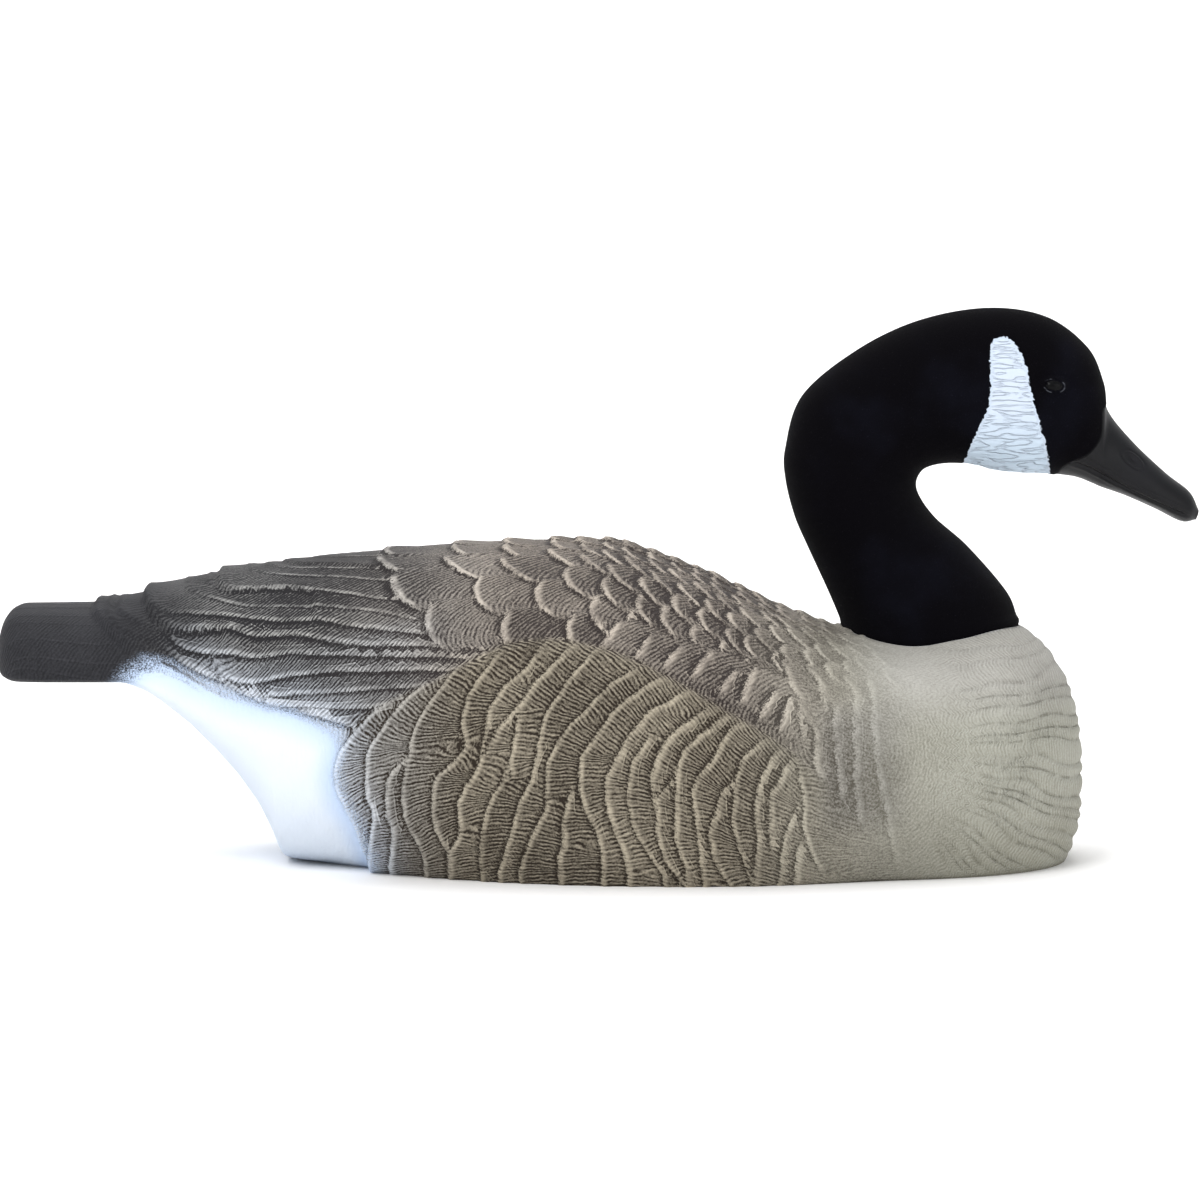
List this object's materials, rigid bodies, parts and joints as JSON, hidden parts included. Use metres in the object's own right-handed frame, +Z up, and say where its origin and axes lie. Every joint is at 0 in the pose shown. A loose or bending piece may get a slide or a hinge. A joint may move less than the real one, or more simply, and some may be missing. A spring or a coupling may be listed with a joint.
{
  "type": "goose decoy",
  "caption": "Life-size resting goose decoy with a feather-textured painted body on a flat underside, and a seated black flocked neck and head with a bare dark bill.",
  "frame": {"origin": "middle of the whole decoy's outline, on the ground it stands on", "axes": "+X towards the bill, +Y towards the bird's left side, +Z up"},
  "size_m": [0.6794, 0.2796, 0.3122],
  "materials": {
    "feathered_body": "moulded feather texture, airbrushed brown, cream, white and charcoal, dry-brushed pale edges, matt",
    "flocked_head": "short black flock with a white painted cheek patch, bare matt charcoal bill, gloss eyes"
  },
  "bodies": {
    "root": {"body": "feathered_body", "head": "flocked_head"}
  },
  "joints": []
}
